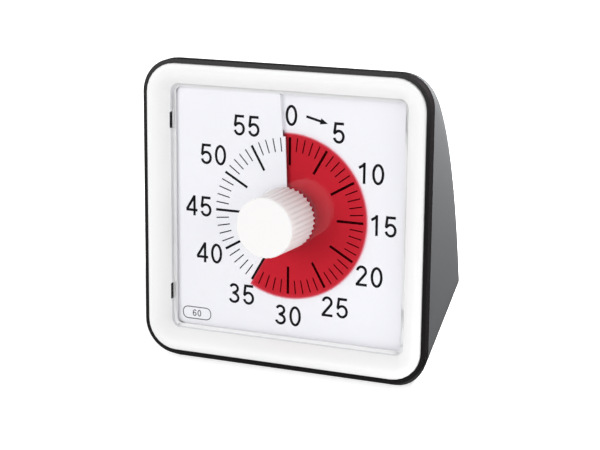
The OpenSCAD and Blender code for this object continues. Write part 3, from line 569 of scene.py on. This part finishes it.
# middle lines of the dial's digits, in a box 0.6 wide and 1 tall, for a pen of width t
def digitStrokes(digit, t):
    low, high, left = t / 2, 1 - t / 2, t / 2
    half = 0.3 - t / 2
    strokes = {
        "0": [arc(0.3, 0.5, half, 0.5 - low, 0, 360, 48)],
        "1": [[(0.37, 0), (0.37, 1)], [(0.35, high - 0.03), (0.25, 0.83), (0.1, 0.74)]],
        "2": [arc(0.3, 0.71, half - 0.02, 0.29 - low, 172, -28) + [(0.17, 0.21), (left, low)],
              [(0.02, low), (0.58, low)]],
        "3": [arc(0.29, 0.745, half - 0.04, 0.255 - low, 160, -90, 24),
              arc(0.29, 0.275, half - 0.01, 0.275 - low, 90, -165, 24),
              [(0.2, 0.52), (0.3, 0.52)]],
        "4": [[(0.44, 0), (0.44, 1)], [(0.44, 0.96), (0.03, 0.285)],
              [(0.0, 0.27), (0.6, 0.27)]],
        "5": [[(0.12, high), (0.55, high)], [(0.14, 1), (0.075, 0.46)],
              [(0.045, 0.47)] + arc(0.3, 0.33, half, 0.33 - low, 143, -165, 28)],
        "6": [arc(0.305, 0.315, half - 0.01, 0.315 - low, 0, 360, 40),
              arc(0.33, 0.5, half + 0.03, 0.5 - low, 200, 38, 24)],
    }
    return strokes[digit]


def addLine(curve, points, closed):
    line = curve.splines.new("POLY")
    line.points.add(len(points) - 1)
    line.use_cyclic_u = closed
    for point, (x, z) in zip(line.points, points):
        point.co = (x, z, 0, 1)


# closed strokes of a row of digits, centred, drawn with a flat nib
def penMesh(digits, tall, pen):
    curves = [bpy.data.curves.new(name, "CURVE") for name in ("figure", "nib")]
    for made in curves:
        made.dimensions = "3D"
    curve, nib = curves
    curve.twist_mode = "Z_UP"
    step, wide = [dial[key] / dial["figureTall"] for key in ("figureStep", "figureWide")]
    start = -(step * (len(digits) - 1) + wide) / 2
    for place, digit in enumerate(digits):
        for line in digitStrokes(digit, pen / tall):
            closed = math.dist(line[0], line[-1]) < 1e-6
            points = line[:-1] if closed else line
            addLine(curve, [((start + place * step + x) * tall, (z - 0.5) * tall)
                            for x, z in points], closed)
    corners = ((-1, -1), (1, -1), (1, 1), (-1, 1))
    addLine(nib, [(i * pen / 2, j * dial["thick"] / 2) for i, j in corners], True)
    holders = [bpy.data.objects.new(made.name, made) for made in curves]
    for holder in holders:
        scene.collection.objects.link(holder)
    curve.bevel_mode = "OBJECT"
    curve.bevel_object = holders[1]
    curve.use_fill_caps = True
    mesh = appliedMesh(holders[0])
    for holder in holders:
        bpy.data.objects.remove(holder)
    for made in curves:
        bpy.data.curves.remove(made)
    bm = bmesh.new()
    bm.from_mesh(mesh)
    bpy.data.meshes.remove(mesh)
    bmesh.ops.remove_doubles(bm, verts=bm.verts, dist=1e-5)
    bmesh.ops.recalc_face_normals(bm, faces=bm.faces)
    standUp(bm)
    return bm


def makeFigures():
    for minute, (x, z) in dial["figures"].items():
        bm = penMesh(str(minute), dial["figureTall"], dial["stroke"])
        bmesh.ops.translate(bm, vec=(x, 0, z), verts=bm.verts)
        printPiece(f"figure{minute:02d}", bm, "printBlack", "figure")


# the shaft ends inside the head, a three-sided disc of radius 1 made to size
arrow = {"from": (4.9, 28.6), "to": (11.4, 27.0), "wide": 0.7, "headLong": 2.3,
         "headWide": 1.8, "overlap": 0.8, "headMiddle": 0.667, "discLong": 1.5,
         "discWide": 1.732}


def makeArrow():
    start, end = Vector(arrow["from"]), Vector(arrow["to"])
    run = end - start
    bm = bmesh.new()
    long = run.length - arrow["headLong"] * arrow["overlap"]
    addBox(bm, (long / 2, 0, 0), (long, dial["thick"], arrow["wide"]))
    head = bmesh.ops.create_cone(bm, cap_ends=True, segments=3, radius1=1, radius2=1,
                                 depth=1)["verts"]
    middle = run.length - arrow["headLong"] * arrow["headMiddle"]
    size = (arrow["headLong"] / arrow["discLong"], dial["thick"],
            arrow["headWide"] / arrow["discWide"], 1)
    bmesh.ops.transform(bm, matrix=Matrix.Translation((middle, 0, 0)) @ Matrix.Diagonal(size)
                        @ Matrix.Rotation(math.radians(90), 4, "Y")
                        @ Matrix.Rotation(math.radians(90), 4, "X"), verts=head)
    turn = Matrix.Rotation(-math.atan2(run.y, run.x), 4, "Y")
    bmesh.ops.transform(bm, matrix=Matrix.Translation((start.x, 0, start.y)) @ turn,
                        verts=bm.verts)
    printPiece("turnArrow", bm, "printBlack")


# the dial's range in a thin outline
badge = {"place": (-28.75, -31.5), "half": (4.6, 1.9), "round": 1.7, "roundSteps": 8,
         "wide": 0.3, "figure": "60", "figureTall": 2.0, "pen": 0.28}


def makeBadge():
    bm = bmesh.new()
    bmesh.ops.create_grid(bm, x_segments=1, y_segments=1, size=1)
    bmesh.ops.transform(bm, matrix=Matrix.Diagonal((*badge["half"], 1, 1)), verts=bm.verts)
    bmesh.ops.bevel(bm, geom=list(bm.verts), offset=badge["round"],
                    segments=badge["roundSteps"], profile=0.5, affect="VERTICES", material=-1)
    ring = bmesh.ops.inset_region(bm, faces=bm.faces, thickness=badge["wide"],
                                  use_boundary=True, use_even_offset=True)["faces"]
    bmesh.ops.delete(bm, geom=[f for f in bm.faces if f not in ring], context="FACES")
    bmesh.ops.solidify(bm, geom=list(bm.faces), thickness=dial["thick"])
    bmesh.ops.recalc_face_normals(bm, faces=bm.faces)
    standUp(bm)
    figure = finishMesh("spare", penMesh(badge["figure"], badge["figureTall"], badge["pen"]))
    bm.from_mesh(figure)
    bpy.data.meshes.remove(figure)
    x, z = badge["place"]
    bmesh.ops.translate(bm, vec=(x, 0, z), verts=bm.verts)
    printPiece("rangeBadge", bm, "printGrey")


makeTicks()
makeFigures()
makeArrow()
makeBadge()
print("dial print laid")

# a pale floor that seen and mirrored rays find almost white, under a white room
stage = {"half": 3, "drop": 0.0001, "pale": (0.82, 0.82, 0.82, 1), "rough": 0.8,
         "glow": 0.55, "room": 0.6, "seenRoom": 1.0}
seenRays = ("Is Camera Ray", "Is Glossy Ray", "Is Transmission Ray")


def makeFloor():
    tree, shader = newFinish("floorPale")
    glow = mathNode(tree, "MULTIPLY", raysOf(tree, *seenRays), stage["glow"])
    setInputs(shader, {
        "Base Color": stage["pale"], "Roughness": stage["rough"], "Specular IOR Level": 0.0,
        "Emission Color": (1, 1, 1, 1), "Emission Strength": glow})
    bm = bmesh.new()
    bmesh.ops.create_grid(bm, x_segments=2, y_segments=2, size=stage["half"])
    floor = bpy.data.objects.new("floor", finishMesh("floor", bm, "floorPale"))
    floor.location.z = -stage["drop"]
    scene.collection.objects.link(floor)


def makeRoom():
    scene.world = bpy.data.worlds.new("studio")
    scene.world.use_nodes = True
    tree = scene.world.node_tree
    tree.nodes.clear()
    plain, white = [addNode(tree, "ShaderNodeBackground", {
        "Color": (1, 1, 1, 1), "Strength": stage[key]}) for key in ("room", "seenRoom")]
    mix = addNode(tree, "ShaderNodeMixShader", {
        "Fac": raysOf(tree, *seenRays), 1: plain.outputs["Background"],
        2: white.outputs["Background"]})
    addNode(tree, "ShaderNodeOutputWorld", {"Surface": mix.outputs["Shader"]})


# dark studio cards, found only by mirrored rays: the window's, the rim's top and its side
cards = {
    "windowCard": {"place": (-0.1665, -0.4077, 0.145), "aim": (-0.1665, 0.4583, -0.355),
                   "half": 0.083},
    "floorCard": {"place": (0, 0.75, 0.0004), "aim": (0, 0.75, 1.0), "half": 0.65},
    "sideCard": {"place": (0.08, 0.02, 0.0002), "aim": (0.08, 0.02, 1.0), "half": 0.13},
}


def makeCards():
    for name, card in cards.items():
        bm = bmesh.new()
        bmesh.ops.create_grid(bm, x_segments=1, y_segments=1, size=card["half"])
        turn = (Vector(card["aim"]) - Vector(card["place"])).to_track_quat("Z", "Y")
        bmesh.ops.transform(bm, matrix=Matrix.Translation(card["place"])
                            @ turn.to_matrix().to_4x4(), verts=bm.verts)
        sheet = bpy.data.objects.new(name, finishMesh(name, bm, "slotShadeAndCardBlack"))
        scene.collection.objects.link(sheet)
        sheet.visible_camera = False
        sheet.visible_diffuse = False
        sheet.visible_transmission = False
        sheet.visible_shadow = False


# soft square lamps; the side lamp stands behind the rim and lights the case's right side
lamps = {
    "keyLamp": {"place": (-0.55, -0.75, 0.75), "aim": (0, 0, 0.04), "size": 0.7, "power": 5.3},
    "fillLamp": {"place": (0.85, -0.35, 0.45), "aim": (0, 0, 0.04), "size": 0.6, "power": 1.5},
    "backLamp": {"place": (0.2, 0.7, 0.8), "aim": (0, 0, 0.04), "size": 0.6, "power": 2.0},
    "sideLamp": {"place": (0.095, 0.087, 0.102), "aim": (0.043, 0.03, 0.08), "size": 0.03,
                 "power": 0.75},
}


def makeLamps():
    for name, lamp in lamps.items():
        data = bpy.data.lights.new(name, "AREA")
        data.shape = "SQUARE"
        data.size = lamp["size"]
        data.energy = lamp["power"]
        holder = bpy.data.objects.new(name, data)
        holder.location = lamp["place"]
        holder.visible_camera = False
        aim = Vector(lamp["aim"]) - Vector(lamp["place"])
        holder.rotation_euler = aim.to_track_quat("-Z", "Y").to_euler()
        scene.collection.objects.link(holder)


makeFloor()
makeRoom()
makeCards()
makeLamps()
scene.view_settings.view_transform = "Standard"
print("stage and lamps set")
